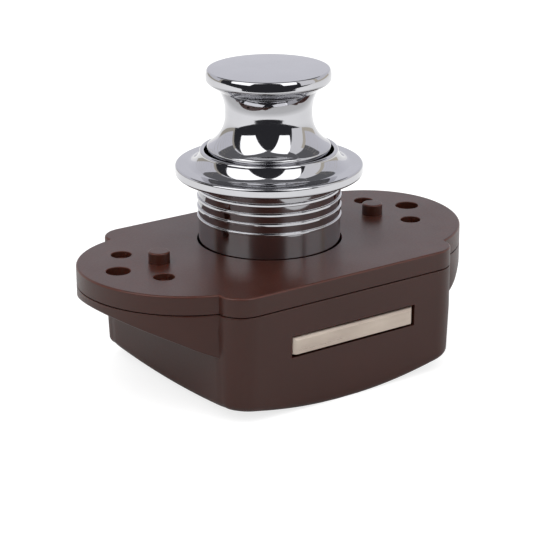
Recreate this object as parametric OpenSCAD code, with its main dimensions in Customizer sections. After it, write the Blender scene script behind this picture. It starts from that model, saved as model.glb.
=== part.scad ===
// Pushbutton cabinet latch. Millimetres, +Z towards the button.
// The origin is on the button axis, in the cover face that lies against the door.
// The bolt leaves the case towards -Y. The button is shown out and the bolt drawn in.

/* [Outline] */
// Length of the box along X
box_l = 48; // [47:0.5:52]
// Button axis to the bolt face
box_front = 24.3; // [24:0.1:27]
// Button axis to the back face
box_back = 19.9; // [19.5:0.1:23]
// Radius of the box's upright corners
corner_r = 5.8; // [3:0.1:7]
// Length over the two ears
span = 74.6; // [72:0.2:80]
// Radius of an ear's front quarter
ear_front_r = 20.5; // [19.5:0.1:21.5]
// Radius of an ear's back quarter
ear_back_r = 16; // [15:0.1:17]
// Where the ears' centre line runs, from the button axis
ear_y = -0.5; // [-1:0.1:0]

/* [Case] */
// Cover face to the flat under the case
depth = 22.6; // [22.4:0.1:25]
// Wall thickness
wall = 1.8; // [1.4:0.1:2]
// Floor thickness at the flat
floor_t = 2; // [1.4:0.1:2.1]
// Draft of the case walls in degrees
draft = 2; // [0.5:0.1:3]
// Radius of the bottom's crown across the bolt face
crown_rx = 90; // [80:1:110]
// Radius of the bottom's crown along Y
crown_ry = 200; // [160:1:240]
// Height of the crown that the flat cuts away
crown_cut = 1.1; // [0.9:0.05:1.2]
// Depth of an ear's rim below the cover at the tip
ear_rim = 1.6; // [1:0.1:2.4]
// Slope of an ear's underside in degrees
ear_slope = 24.7; // [20:0.1:28]

/* [Cover] */
// Height of the cover's rim
cover_t = 3.3; // [3:0.1:3.6]
// Thickness of the cover's plate
plate_t = 2.4; // [2:0.1:2.6]
// Gap round the sleeve in the cover
sleeve_gap = 0.3; // [0.1:0.05:0.4]
// Radius of a locating peg
peg_r = 1.88; // [1.5:0.02:2.5]
// Height of a locating peg
peg_h = 2; // [1:0.1:4]
// Pegs from the button axis
peg_x = 23; // [20:0.1:24]
// Radius of a fixing screw's hole
screw_hole_r = 2.12; // [1.6:0.02:2.5]
// Fixing holes from the button axis
screw_x = 31.15; // [30.5:0.05:31.5]
// Radius of a fixing screw's head recess
screw_seat_r = 3.9; // [3.2:0.1:4]
// Radius of a hole for a case post
post_hole_r = 1.8; // [1.6:0.05:2]
// Case posts from the button axis along X
post_x = 26.4; // [26.2:0.1:27]
// Case posts from the ears' line along Y
post_y = 7; // [6.8:0.1:8]

/* [Sleeve] */
// Outer radius of the sleeve's ribs
sleeve_r = 12.75; // [12.6:0.05:13]
// Wall from the ribs to the sleeve's bore
sleeve_wall = 1.45; // [1.4:0.05:1.6]
// Number of ribs
rib_count = 5; // [2:1:5]
// Height of the first rib
rib_z = 4.6; // [3:0.1:6]
// Rib spacing
rib_pitch = 1.73; // [1.2:0.01:1.8]
// Rib width
rib_w = 0.5; // [0.3:0.05:0.8]
// Depth of the foot and of each band's lower end below the ribs
groove_d = 0.2; // [0.15:0.05:0.3]
// Radius of the flange
flange_r = 16.38; // [15.5:0.02:18]
// Underside of the flange above the cover, the door's thickness
grip = 13.3; // [12.8:0.1:13.6]
// Thickness of the flange's rim
flange_t = 1.2; // [0.8:0.1:1.5]
// Height of the flare from the rim to the collar's top
flare_h = 2.5; // [2:0.1:3]
// Width of the flare from the collar's wall to the flange's flat
flare_w = 2.5; // [1.8:0.1:3]
// Thickness of the collar's lip
collar_t = 0.74; // [0.6:0.02:1]

/* [Button] */
// Gap round the button's disc when it is down in the sleeve
disc_gap = 0.38; // [0.3:0.02:0.8]
// Top of the disc above the cover
button_top = 30.67; // [30:0.05:32]
// Height of the disc's edge
disc_t = 1.6; // [1.2:0.1:2]
// Radius of the waist
waist_r = 7.63; // [7.2:0.01:8]
// Radius of the concave sweep above the waist
sweep_top_r = 7.1; // [6.5:0.1:7.5]
// Radius of the concave sweep below the waist
sweep_low_r = 6.41; // [6:0.01:6.8]
// Waist above the cover
waist_z = 23; // [22.5:0.1:23.5]
// Gap round the skirt that runs in the sleeve
skirt_gap = 0.45; // [0.35:0.05:0.6]
// Length of the skirt
skirt_l = 3.6; // [3:0.1:4]

/* [Mechanism] */
// Travel of the button
button_travel = 13; // [12:0.1:13]
// Travel of the bolt
bolt_travel = 8; // [6:0.1:8]
// Width of the bolt along X
bolt_w = 25.5; // [18:0.1:26]
// Thickness of the bolt
bolt_t = 3.05; // [2.5:0.05:3.2]
// Top of the bolt below the cover face
bolt_top = 8.9; // [8.8:0.05:9.2]
// Bolt's middle from the button axis
bolt_x = 0.8; // [0:0.1:1]
// Bevel on the bolt's nose
bolt_bevel = 0.55; // [0.3:0.05:0.8]
// Gap beside and above the bolt in its slot
slot_gap = 0.3; // [0.2:0.05:0.4]
// Gap below the bolt in its slot
slot_low_gap = 0.5; // [0.2:0.05:0.6]
// Clearance between parts that slide
slide_gap = 0.3; // [0.2:0.05:0.35]
// Radius of a drive pin
drive_r = 1; // [0.8:0.05:1.1]
// Radius of a bolt rivet
rivet_r = 0.9; // [0.7:0.05:1.1]
// Wire radius of the return spring
spring_wire_r = 0.4; // [0.3:0.02:0.42]
// Mean radius of the return spring
spring_r = 3.3; // [3.1:0.05:3.4]
// Turns of the return spring
spring_turns = 11; // [8:0.5:12]
// Wire radius of the follower
follower_r = 0.5; // [0.35:0.05:0.6]
// How far the follower swings aside when the button is in, at its tip
follower_swing = 2.6; // [2.2:0.1:2.8]

/* [Hidden] */
$fn = 96;
eps = 0.01;
fit_gap = 0.1;
press_gap = 0.02;
box_x = box_l / 2;
floor_z = -depth + floor_t;
bottom_in = tan(draft) * (depth - cover_t);
crown_fn = 360;
crown_axis_y = (box_back - box_front) / 2;
crown_axis_z = crown_ry - depth - crown_cut;
ear_tip_z = -cover_t - ear_rim;
screw_seat_z = ear_tip_z - 0.9;
screw_boss_r = screw_seat_r + 1.7;
post_r = post_hole_r - sleeve_gap;
post_boss_r = post_hole_r + 0.8;
crush_r = 0.27;

bore_r = sleeve_r - sleeve_wall;
collar_r = bore_r + collar_t;
disc_r = bore_r - disc_gap;
skirt_r = bore_r - skirt_gap;
sleeve_tail_z = -4.2;
ledge_t = 0.8;
ledge_z = sleeve_tail_z - ledge_t;
tail_r = sleeve_r - groove_d;
socket_r = tail_r + sleeve_gap;
socket_wall = 1.7;
clip_r = 0.35;
clip_z = -plate_t - 0.95;
clip_mean_r = (tail_r + socket_r) / 2;
clip_groove_d = 0.6;
flange_top = grip + flange_t;
collar_top = flange_top + flare_h;
skirt_top = collar_top - 0.1;
skirt_z = skirt_top - skirt_l;

stop_gap = 0.1;
plunger_r = bore_r - slide_gap;
plunger_half = 7.5;
plunger_top = skirt_z - slide_gap;
plunger_back = 8.6;
foot_top = ledge_z - stop_gap;
foot_z = floor_z + button_travel + 0.2;
foot_front = 9;
foot_back = 13;
stem_r = 5.9;
stem_h = 8;
stem_top = plunger_top + stem_h;
screw_wall = 2;
spring_bore_r = spring_r + spring_wire_r + 0.5;
spring_room = 14;
spring_top = foot_z + spring_room;
driver_bore_r = 2.9;
button_screw_r = 1.2;
button_screw_l = 7.5;
washer_t = 0.4;
screw_head_r = 2.5;
screw_head_h = 1.5;
post_spring_r = spring_r - spring_wire_r - slide_gap;
post_spring_h = 3;

bolt_nose_y = -box_front + 0.12;
bolt_z = -bolt_top - bolt_t;
bar_lip = 0.8;
carrier_z = bolt_z - bar_lip;
carrier_top = -bolt_top + bar_lip;
bar_front = -box_front + wall + tan(draft) * (-carrier_z - cover_t) + slide_gap + bolt_travel;
bolt_tail_y = bar_front + 3;
bar_back = bolt_tail_y + 1.5;
bar_half = bolt_w / 2 + bolt_x + 0.5;
arm_in = plunger_half + slide_gap;
arm_out = arm_in + 4.8;
arm_back = 6.5;
drive_y = bolt_travel / 2;
drive_z = ledge_z - 0.9;
drive_in = plunger_half - 1.9;
lug_r = 1.8;
lug_out = 9.5;
groove_gap = 0.15;
groove_floor = drive_in - 0.2;
groove_dy = bolt_travel / button_travel;
body_z = foot_top - 0.5;
bar_away = groove_dy * (body_z - carrier_top) - bar_back;
plunger_front = min(plunger_r - 0.4, bar_away - slide_gap);
rivet_y = bar_front + 1.6;
rivet_x = 8;

track_floor = plunger_back - 1.4;
track_gap = 0.25;
wire_y = plunger_back + 2.8;
wire_top = ledge_z - 1.2;
pivot_z = floor_z + 3.1;
pivot_leg = 4.2;
pivot_y = wire_y + pivot_leg;
latch_back = 1.45;
notch_half = follower_swing + follower_r + 0.5;
bend_r = 1.1;
leaf_t = 0.3;
leaf_half = 2.5;
leaf_y = box_back - wall - bottom_in - slide_gap;
leaf_top = -8;
leaf_bend_r = 1.5;
leaf_reach = 4.6;
leaf_tip = 1.4;
leaf_turn_up = 0.7;

// Rectangle with round corners, from x0 to x1 and y0 to y1.
module round_rect(x0, x1, y0, y1, r) {
    translate([x0 + r, y0])
        square([x1 - x0 - 2 * r, y1 - y0]);
    translate([x0, y0 + r])
        square([x1 - x0, y1 - y0 - 2 * r]);
    for (x = [x0 + r, x1 - r], y = [y0 + r, y1 - r])
        translate([x, y])
            circle(r);
}

// The box seen from above, drawn in by d.
module box_outline(d) {
    round_rect(-box_x + d, box_x - d, -box_front + d, box_back - d, max(corner_r - d, 0.8));
}

// The right ear seen from above, drawn in by d: two quarter discs that meet at the tip.
module ear_outline(d) {
    intersection() {
        translate([span / 2 - ear_front_r, ear_y])
            circle(ear_front_r - d);
        translate([0, ear_y - span])
            square(span);
    }
    intersection() {
        translate([span / 2 - ear_back_r, ear_y])
            circle(ear_back_r - d);
        translate([0, ear_y])
            square(span);
    }
}

// The outline that the cover and the case share.
module outline(d) {
    box_outline(d);
    both_sides()
        ear_outline(d);
}

module both_sides() {
    children();
    mirror([1, 0, 0])
        children();
}

// A plate from z0 up to z1 with a 2D outline.
module slab(z0, z1) {
    translate([0, 0, z0])
        linear_extrude(z1 - z0)
            children();
}

module tube(z0, z1, r_out, r_in) {
    translate([0, 0, z0])
        difference() {
            cylinder(h = z1 - z0, r = r_out);
            translate([0, 0, -1])
                cylinder(h = z1 - z0 + 2, r = r_in);
        }
}

// Everything above the crowned bottom, drawn in by d and cut flat at z.
module crown(d, z) {
    intersection() {
        translate([-span, -span, z])
            cube([2 * span, 2 * span, depth + 1]);
        translate([0, crown_axis_y, crown_axis_z])
            rotate([0, 90, 0])
                rotate([0, 0, -12])
                    rotate_extrude(angle = 24, $fn = crown_fn)
                        intersection() {
                            translate([crown_ry - crown_rx, 0])
                                circle(crown_rx - d, $fn = crown_fn);
                            translate([crown_ry - 40, -span / 2])
                                square([60, span]);
                        }
    }
}

// The box below the cover with its draft and crown, drawn in by d.
module box_body(d, z, top) {
    intersection() {
        hull($fn = 32) {
            slab(top - eps, top)
                box_outline(d);
            slab(-depth, -depth + eps)
                box_outline(d + bottom_in);
        }
        crown(d, z);
    }
}

// An ear down to its sloping underside, drawn in by d.
module ear_body(d, top) {
    difference() {
        slab(-depth, top)
            ear_outline(d);
        translate([span / 2, 0, ear_tip_z + d / cos(ear_slope)])
            rotate([0, -ear_slope, 0])
                translate([-2 * span, -span, -2 * depth])
                    cube([4 * span, 2 * span, 2 * depth]);
    }
}

// The hollow of an ear stays outside the box wall.
module ear_hollow() {
    intersection() {
        ear_body(wall, -cover_t + 1);
        translate([box_x, -span, -depth])
            cube([span, 2 * span, 2 * depth]);
    }
}

module case_shell() {
    difference() {
        union() {
            box_body(0, -depth, -cover_t);
            both_sides()
                difference() {
                    ear_body(0, -cover_t);
                    translate([-span, -span, -2 * depth])
                        cube([span + box_x - wall / 2, 2 * span, 3 * depth]);
                }
        }
        box_body(wall, floor_z, -cover_t + 1);
        both_sides()
            ear_hollow();
    }
}

// Bosses and posts in the ears, kept inside the ears' walls and the cover's rim.
module ear_bosses() {
    intersection() {
        union() {
            translate([screw_x, 0, -depth])
                cylinder(h = depth - plate_t, r = screw_boss_r);
            for (s = [-1, 1])
                translate([post_x, s * post_y, -depth])
                    cylinder(h = depth - plate_t, r = post_boss_r);
        }
        union() {
            ear_body(wall / 2, -cover_t - fit_gap);
            slab(-cover_t - 1, -plate_t)
                ear_outline(wall + fit_gap);
        }
    }
    for (s = [-1, 1])
        translate([post_x, s * post_y, -plate_t - 1])
            cylinder(h = plate_t, r = post_r);
}

// Rails under the bolt carrier, and the ribs that guide its arms.
module rails() {
    for (s = [0, 1])
        mirror([s, 0, 0]) {
            translate([arm_out - 2.6, -box_front, -depth])
                cube([2.6, box_front + arm_back + 2, depth + carrier_z - fit_gap]);
            translate([arm_out + slide_gap, bar_back + 1, -depth])
                cube([1.4, arm_back + 1 - bar_back, depth + carrier_z + 3]);
        }
}

// What the case carries inside: spring post, follower pivot and leaf pocket.
module inner_bosses() {
    translate([0, 0, -depth])
        cylinder(h = floor_t + post_spring_h, r = post_spring_r);
    translate([-3, pivot_y - 3.2, -depth])
        cube([6, 3.5, depth + pivot_z + 1.5]);
    for (s = [0, 1])
        mirror([s, 0, 0])
            translate([leaf_half + 0.2, leaf_y - 1, -depth])
                cube([1, 3, depth + leaf_top - 1]);
    translate([-leaf_half - 1, leaf_y - 1, -depth])
        cube([2 * leaf_half + 2, 0.7, 6]);
}

module case() {
    color([0.27, 0.19, 0.18])
        difference() {
            union() {
                case_shell();
                both_sides()
                    ear_bosses();
                intersection() {
                    box_body(wall / 2, -depth + 0.5, -cover_t - 1);
                    union() {
                        rails();
                        inner_bosses();
                    }
                }
            }
            translate([bolt_x - bolt_w / 2 - slot_gap, -box_front - 1, bolt_z - slot_low_gap])
                cube([bolt_w + 2 * slot_gap, wall + 2.2, bolt_t + slot_gap + slot_low_gap]);
            both_sides() {
                translate([screw_x, 0, -depth])
                    cylinder(h = depth, r = screw_hole_r);
                translate([screw_x, 0, -depth])
                    cylinder(h = depth + screw_seat_z, r = screw_seat_r);
            }
            translate([0, pivot_y - 4, pivot_z])
                rotate([-90, 0, 0])
                    cylinder(h = 5, r = follower_r + fit_gap);
        }
}

// A case post's hole in the cover with three small ribs that grip the post.
module post_hole() {
    difference() {
        translate([0, 0, -cover_t - 1])
            cylinder(h = cover_t + 2, r = post_hole_r);
        for (a = [30, 150, 270])
            rotate([0, 0, a])
                translate([post_hole_r, 0, -cover_t - 2])
                    cylinder(h = cover_t + 1.6, r = crush_r, $fn = 24);
    }
}

module cover() {
    color([0.3, 0.21, 0.2])
        difference() {
            union() {
                slab(-plate_t, 0)
                    outline(0);
                slab(-cover_t, -plate_t + eps)
                    difference() {
                        outline(0);
                        outline(wall);
                    }
                slab(-cover_t - 1.4, -plate_t + eps)
                    difference() {
                        box_outline(wall + fit_gap);
                        box_outline(wall + fit_gap + 1.2);
                    }
                translate([0, 0, ledge_z])
                    cylinder(h = -ledge_z - eps, r = socket_r + socket_wall);
                both_sides() {
                    translate([arm_out - 1.2, bar_front - bolt_travel + 1.6, carrier_top + fit_gap])
                        cube([1, arm_back - bar_front + bolt_travel, -carrier_top - plate_t]);
                    translate([peg_x, 0, -1])
                        cylinder(h = peg_h + 1, r = peg_r);
                }
            }
            translate([0, 0, sleeve_tail_z])
                cylinder(h = depth, r = socket_r);
            translate([0, 0, -depth])
                cylinder(h = 2 * depth, r = bore_r);
            tube(clip_z - clip_r - 0.05, clip_z + clip_r + 0.05, socket_r + clip_groove_d, socket_r - 1);
            both_sides() {
                translate([screw_x, 0, -depth])
                    cylinder(h = 2 * depth, r = screw_hole_r);
                for (s = [-1, 1])
                    translate([post_x, s * post_y, 0])
                        post_hole();
            }
        }
}

// Points of an arc about c from angle a0 to a1.
function arc(c, r, a0, a1, n) = [
    for (i = [0 : n])
        let (a = a0 + (a1 - a0) * i / n)
            [c[0] + r * cos(a), c[1] + r * sin(a)]
];

// The flange's rim, its flare, a quarter ellipse, and the collar's round lip, from outside to inside.
function flange_profile() =
    let (
        lip = collar_t / 2,
        lip_z = collar_top - lip,
        foot = flange_top + 0.15
    )
    concat(
        [[sleeve_r - groove_d, grip - 0.5]],
        arc([sleeve_r - groove_d + 0.5, grip - 0.5], 0.5, 180, 90, 6),
        arc([flange_r - 0.5, grip + 0.5], 0.5, -90, 0, 6),
        arc([flange_r - 0.4, flange_top - 0.4], 0.4, 0, 80, 6),
        [for (a = [270 : -6 : 186]) [collar_r + flare_w * (1 + cos(a)), lip_z + (lip_z - foot) * sin(a)]],
        arc([bore_r + lip, lip_z], lip, 0, 180, 12)
    );

// Band between two ribs, a cone that leans out to the upper one.
module leaning_band(low, high) {
    rotate_extrude()
        polygon([
            [bore_r + 0.4, low],
            [sleeve_r - groove_d, low],
            [sleeve_r - 0.02, high],
            [bore_r + 0.4, high]
        ]);
}

module sleeve() {
    color([0.86, 0.87, 0.89])
        difference() {
            union() {
                rotate_extrude()
                    polygon(concat([[bore_r, 0]], [[sleeve_r - groove_d, 0]], flange_profile()));
                tube(sleeve_tail_z + fit_gap, eps, tail_r, bore_r);
                for (i = [0 : rib_count - 1])
                    tube(rib_z + i * rib_pitch - rib_w / 2, rib_z + i * rib_pitch + rib_w / 2, sleeve_r, bore_r);
                for (i = [1 : rib_count - 1])
                    leaning_band(rib_z + (i - 1) * rib_pitch + rib_w / 2, rib_z + i * rib_pitch - rib_w / 2);
            }
            tube(clip_z - clip_r - 0.05, clip_z + clip_r + 0.05, sleeve_r + 1, tail_r - 0.4);
        }
}

// Open spring ring that locks the sleeve in the cover's socket.
module sleeve_clip() {
    color([0.6, 0.6, 0.62])
        translate([0, 0, clip_z])
            rotate([0, 0, 110])
                rotate_extrude(angle = 320)
                    translate([clip_mean_r, 0])
                        circle(clip_r, $fn = 24);
}

// Outer line of the button from its axis at the top, round the disc and the waist, down to the skirt.
function button_profile() =
    let (
        edge = disc_t / 2,
        low = button_top - disc_t,
        top_c = [waist_r + sweep_top_r, waist_z + 0.3],
        low_c = [waist_r + sweep_low_r, waist_z - 0.4],
        low_end = 360 - acos((skirt_r - 0.7 - low_c[0]) / sweep_low_r)
    )
    concat(
        [[0, button_top + 0.12], [disc_r - 2.5, button_top]],
        arc([disc_r - 0.5, button_top - 0.5], 0.5, 90, 0, 6),
        arc([disc_r - edge, low], edge, 0, -62, 8),
        arc(top_c, sweep_top_r, 147, 180, 10),
        arc(low_c, sweep_low_r, 180, low_end, 16),
        arc([skirt_r - 0.6, skirt_top - 0.6], 0.6, 60, 0, 5),
        [[skirt_r, skirt_z], [0, skirt_z]]
    );

module button() {
    color([0.88, 0.89, 0.91])
        difference() {
            rotate_extrude()
                polygon(button_profile());
            translate([0, 0, skirt_z - 1])
                cylinder(h = skirt_l, r = skirt_r - 1.3);
            translate([0, 0, skirt_z + skirt_l - 1 - eps])
                cylinder(h = 3, r1 = skirt_r - 1.3, r2 = stem_r + slide_gap);
            translate([0, 0, skirt_z])
                cylinder(h = stem_top - skirt_z, r = stem_r + slide_gap);
            translate([0, 0, stem_top - 1])
                cylinder(h = button_screw_l - screw_wall + 1.5, r = button_screw_r + press_gap);
        }
}

module button_screw() {
    head_z = stem_top - screw_wall - washer_t - 2 * press_gap;
    color([0.55, 0.55, 0.57])
        difference() {
            union() {
                translate([0, 0, head_z - screw_head_h])
                    cylinder(h = screw_head_h, r = screw_head_r);
                translate([0, 0, head_z - eps])
                    cylinder(h = button_screw_l, r = button_screw_r);
            }
            for (a = [0, 90])
                rotate([0, 0, a])
                    translate([-1.5, -0.3, head_z - screw_head_h - 1])
                        cube([3, 0.6, 1.9]);
        }
}

module screw_washer() {
    top = stem_top - screw_wall - press_gap;
    color([0.7, 0.7, 0.7])
        tube(top - washer_t, top, screw_head_r + 0.2, button_screw_r + fit_gap);
}

// A straight groove with round ends, in the plane of the first two axes, h deep.
module groove(p, q, r, h) {
    run = q - p;
    translate([p[0], p[1], 0])
        rotate([0, 0, atan2(run[1], run[0])]) {
            translate([0, -r, 0])
                cube([norm(run), 2 * r, h]);
            cylinder(h = h, r = r);
            translate([norm(run), 0, 0])
                cylinder(h = h, r = r);
        }
}

// The sloping groove in the plunger's right side that drives a pin, open at the foot.
module drive_groove() {
    start = [drive_y + 3 * groove_dy, drive_z - 3];
    end = [drive_y - bolt_travel, drive_z + button_travel];
    translate([groove_floor, 0, 0])
        rotate([90, 0, 90])
            groove(start, end, drive_r + groove_gap, 5);
}

// The heart-shaped track: out along one leg, back to the latch point, and home along the other.
module heart_track() {
    home = [0, wire_top];
    left = [-follower_swing, wire_top + button_travel - 0.3];
    right = [follower_swing, wire_top + button_travel - 0.3];
    rest = [0, wire_top + button_travel - latch_back];
    r = follower_r + track_gap;
    translate([0, track_floor, 0])
        rotate([90, 0, 0])
            mirror([0, 0, 1]) {
                groove(home, left, r, 5);
                groove(left, rest, r, 5);
                groove(rest, right, r, 5);
                groove(right, home, r, 5);
                groove([0, foot_z - 1], home, r, 5);
            }
}

module plunger() {
    color([0.9, 0.9, 0.86])
        difference() {
            union() {
                intersection() {
                    translate([0, 0, foot_z])
                        cylinder(h = plunger_top - foot_z, r = plunger_r);
                    translate([-plunger_half, -plunger_front, body_z])
                        cube([2 * plunger_half, plunger_front + plunger_back, 3 * depth]);
                }
                translate([-plunger_half, -foot_front, foot_z])
                    cube([2 * plunger_half, foot_front + foot_back, foot_top - foot_z]);
                translate([0, 0, plunger_top - 1])
                    cylinder(h = stem_top - plunger_top + 1, r = stem_r);
            }
            translate([-notch_half, plunger_back, foot_z - 1])
                cube([2 * notch_half, foot_back, depth]);
            translate([0, 0, foot_z - 1])
                cylinder(h = spring_top - foot_z + 1, r = spring_bore_r);
            translate([0, 0, spring_top - 1])
                cylinder(h = stem_top - screw_wall - spring_top + 1, r = driver_bore_r);
            translate([0, 0, foot_z])
                cylinder(h = 2 * depth, r = button_screw_r + fit_gap);
            both_sides()
                drive_groove();
            heart_track();
        }
}

// A wire swept along a helix, with flat closing turns at both ends.
module coil(r, wire, z0, z1, turns) {
    steps = 18;
    sides = 8;
    n = round(turns * steps);
    closing = 0.8;
    rise = function (t)
        let (u = min(max((t - closing) / (turns - 2 * closing), 0), 1))
            z0 + 2 * wire * min(t, closing) + 2 * wire * max(t - turns + closing, 0)
            + (z1 - z0 - 4 * wire * closing) * u;
    points = [
        for (i = [0 : n], k = [0 : sides - 1])
            let (
                t = i / steps,
                a = 360 * t,
                b = 360 * k / sides,
                d = r + wire * cos(b)
            )
                [d * cos(a), d * sin(a), rise(t) + wire * sin(b)]
    ];
    quads = [
        for (i = [0 : n - 1], k = [0 : sides - 1])
            let (m = (k + 1) % sides)
                [i * sides + k, i * sides + m, (i + 1) * sides + m, (i + 1) * sides + k]
    ];
    ends = [
        [for (k = [sides - 1 : -1 : 0]) k],
        [for (k = [0 : sides - 1]) n * sides + k]
    ];
    polyhedron(points, concat(quads, ends), convexity = 12);
}

module return_spring() {
    color([0.65, 0.66, 0.68])
        coil(spring_r, spring_wire_r, floor_z + spring_wire_r + press_gap,
            spring_top - spring_wire_r - press_gap, spring_turns);
}

// A flat bar with a bevel along its nose, its nose's corners cut off and two rivet holes.
module bolt() {
    x0 = bolt_x - bolt_w / 2;
    b = bolt_bevel;
    color([0.75, 0.7, 0.64])
        difference() {
            translate([x0, bolt_nose_y, bolt_z])
                cube([bolt_w, bolt_tail_y - bolt_nose_y, bolt_t]);
            translate([x0 - 1, bolt_nose_y, -bolt_top - b])
                rotate([45, 0, 0])
                    translate([0, -5, 0])
                        cube([bolt_w + 2, 10, 5]);
            for (s = [0, 1])
                translate([bolt_x, 0, 0])
                    mirror([s, 0, 0])
                        translate([bolt_w / 2, bolt_nose_y + b, bolt_z - 1])
                            rotate([0, 0, -135])
                                translate([-5, 0, 0])
                                    cube([10, 5, bolt_t + 2]);
            for (s = [-1, 1])
                translate([s * rivet_x, rivet_y, bolt_z - 1])
                    cylinder(h = bolt_t + 2, r = rivet_r + press_gap);
        }
}

module bolt_carrier() {
    color([0.92, 0.9, 0.82])
        difference() {
            union() {
                translate([-bar_half, bar_front, carrier_z])
                    cube([2 * bar_half, bar_back - bar_front, carrier_top - carrier_z]);
                both_sides() {
                    translate([arm_in, bar_back - eps, carrier_z])
                        cube([arm_out - arm_in, arm_back - bar_back, carrier_top - carrier_z]);
                    translate([arm_in, drive_y - lug_r, carrier_top - eps])
                        cube([lug_out - arm_in, 2 * lug_r, drive_z - carrier_top + eps]);
                    translate([arm_in, drive_y, drive_z])
                        rotate([0, 90, 0])
                            cylinder(h = lug_out - arm_in, r = lug_r);
                }
            }
            translate([bolt_x - bolt_w / 2 - fit_gap, bar_front - 1, bolt_z - press_gap])
                cube([bolt_w + 2 * fit_gap, bolt_tail_y - bar_front + 1 + press_gap, bolt_t + 2 * press_gap]);
            for (s = [-1, 1])
                translate([s * rivet_x, rivet_y, carrier_z - 1])
                    cylinder(h = carrier_top - carrier_z + 2, r = rivet_r + press_gap);
            translate([-lug_out - 1, drive_y, drive_z])
                rotate([0, 90, 0])
                    cylinder(h = 2 * lug_out + 2, r = drive_r + press_gap);
        }
}

module bolt_rivet(s) {
    color([0.7, 0.7, 0.72])
        translate([s * rivet_x, rivet_y, carrier_z])
            cylinder(h = carrier_top - carrier_z, r = rivet_r);
}

module drive_pin(s) {
    color([0.72, 0.73, 0.75])
        translate([s > 0 ? drive_in : -lug_out, drive_y, drive_z])
            rotate([0, 90, 0])
                cylinder(h = lug_out - drive_in, r = drive_r);
}

// A quarter bend of the follower's wire from +Z to -Y, and the straight leg beyond it.
module wire_turn(leg) {
    translate([0, -bend_r, 0]) {
        rotate([90, 0, 90])
            rotate_extrude(angle = 90)
                translate([bend_r, 0])
                    circle(follower_r, $fn = 32);
        translate([0, 0, bend_r])
            rotate([90, 0, 0])
                cylinder(h = leg, r = follower_r, $fn = 32);
    }
}

// Bent wire: an upright, a tip that runs in the heart track, and a pivot leg the other way.
module follower() {
    upright = wire_top - pivot_z - 2 * bend_r;
    color([0.66, 0.67, 0.7])
        translate([0, wire_y, pivot_z + bend_r]) {
            cylinder(h = upright, r = follower_r, $fn = 32);
            translate([0, 0, upright])
                wire_turn(wire_y - bend_r - track_floor - 0.4);
            rotate([180, 0, 0])
                wire_turn(pivot_leg - bend_r);
        }
}

// The leaf's centre line in the YZ plane: up the case wall, over the top, down to the follower.
function leaf_line() = concat(
    [[leaf_y, floor_z + 1]],
    arc([leaf_y - leaf_bend_r, leaf_top], leaf_bend_r, 0, 200, 16),
    let (
        lip_y = wire_y + follower_r + leaf_t,
        lip_z = leaf_top - leaf_reach
    )
        [[lip_y, lip_z], [lip_y + leaf_turn_up, lip_z - leaf_tip]]
);

// A line given thickness t: one side out, the other side back.
function thick(line, t) =
    let (
        n = len(line),
        side = function (i, s)
            let (
                a = line[max(i - 1, 0)],
                b = line[min(i + 1, n - 1)],
                d = (b - a) / norm(b - a)
            )
                line[i] + s * t / 2 * [-d[1], d[0]]
    )
    concat([for (i = [0 : n - 1]) side(i, 1)], [for (i = [n - 1 : -1 : 0]) side(i, -1)]);

module follower_spring() {
    color([0.6, 0.62, 0.66])
        translate([-leaf_half, 0, 0])
            rotate([90, 0, 90])
                linear_extrude(2 * leaf_half)
                    polygon(thick(leaf_line(), leaf_t));
}

case();
cover();
sleeve();
sleeve_clip();
button();
button_screw();
screw_washer();
plunger();
return_spring();
bolt_carrier();
bolt();
bolt_rivet(-1);  // bolt_rivet_left
bolt_rivet(1);  // bolt_rivet_right
drive_pin(-1);  // drive_pin_left
drive_pin(1);  // drive_pin_right
follower();
follower_spring();
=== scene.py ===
import math

import bmesh
import bpy
import numpy as np
from mathutils import Matrix, Vector


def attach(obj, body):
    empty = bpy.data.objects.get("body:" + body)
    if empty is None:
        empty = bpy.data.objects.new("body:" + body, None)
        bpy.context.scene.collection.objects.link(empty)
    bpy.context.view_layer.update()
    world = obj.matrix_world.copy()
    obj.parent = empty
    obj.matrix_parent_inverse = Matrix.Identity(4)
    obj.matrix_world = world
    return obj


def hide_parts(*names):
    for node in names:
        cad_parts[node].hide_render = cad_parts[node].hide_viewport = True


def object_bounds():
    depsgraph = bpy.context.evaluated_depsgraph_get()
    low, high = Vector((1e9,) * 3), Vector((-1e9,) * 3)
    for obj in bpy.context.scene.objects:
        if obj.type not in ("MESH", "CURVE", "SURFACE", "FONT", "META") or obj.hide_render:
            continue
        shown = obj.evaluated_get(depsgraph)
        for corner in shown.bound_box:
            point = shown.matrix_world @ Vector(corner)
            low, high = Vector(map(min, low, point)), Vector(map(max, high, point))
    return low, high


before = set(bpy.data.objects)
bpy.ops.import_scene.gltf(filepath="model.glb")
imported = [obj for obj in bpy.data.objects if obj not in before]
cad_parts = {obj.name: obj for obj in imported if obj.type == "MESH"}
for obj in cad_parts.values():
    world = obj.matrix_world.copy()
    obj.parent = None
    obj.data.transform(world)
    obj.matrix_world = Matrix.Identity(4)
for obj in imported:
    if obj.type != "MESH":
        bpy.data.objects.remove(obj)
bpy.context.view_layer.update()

# Camera. A long lens looks down on the front left corner of the latch from about 35 cm,
# so the bolt's face, the left ear and the whole button are in view.
view_turn, view_tilt, view_lean = np.radians([-34.69, 19.52, -0.37])
back = Vector((math.sin(view_turn) * math.cos(view_tilt),
               -math.cos(view_turn) * math.cos(view_tilt),
               math.sin(view_tilt)))
level = (-back).cross(Vector((0, 0, 1))).normalized()
upright = level.cross(-back)
right = math.cos(view_lean) * level + math.sin(view_lean) * upright
up = math.cos(view_lean) * upright - math.sin(view_lean) * level
latch_in_view = (0.0005245, 0.0053192, -0.34618)
stand = -(right * latch_in_view[0] + up * latch_in_view[1] + back * latch_in_view[2])
camera = bpy.data.objects.new("camera", bpy.data.cameras.new("camera"))
camera.data.sensor_width = 36
camera.data.lens = 131.68
camera.data.clip_end = 20
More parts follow.
